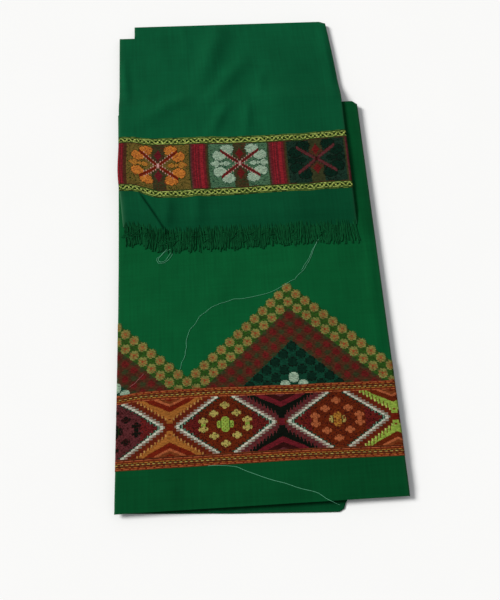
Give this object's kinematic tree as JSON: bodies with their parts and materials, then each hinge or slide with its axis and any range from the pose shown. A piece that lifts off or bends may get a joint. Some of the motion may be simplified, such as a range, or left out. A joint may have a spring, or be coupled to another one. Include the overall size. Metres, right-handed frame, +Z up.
{
  "type": "folded mekhela",
  "caption": "Green handwoven cotton mekhela folded flat, its fringed end turned back over the front, with a wide and a narrow woven geometric border.",
  "frame": {"origin": "centre of the bounding box in plan, at the underside that rests on the surface", "axes": "+Z up from the surface, +Y from the hem to the top fold, +X to the right as seen from the hem"},
  "size_m": [0.304, 0.6525, 0.0167],
  "materials": {
    "green_cloth": "matt plain-woven cotton with extra-weft borders",
    "folded_cloth": "matt plain-woven cotton, seen at its folded edges",
    "fringe_yarn": "loose cotton yarn"
  },
  "bodies": {
    "root": {"under_length": "folded_cloth", "inner_folds": "folded_cloth", "hem_panel": "green_cloth", "end_folds": "folded_cloth", "end_panel": "green_cloth", "fringe": "fringe_yarn"}
  },
  "joints": []
}
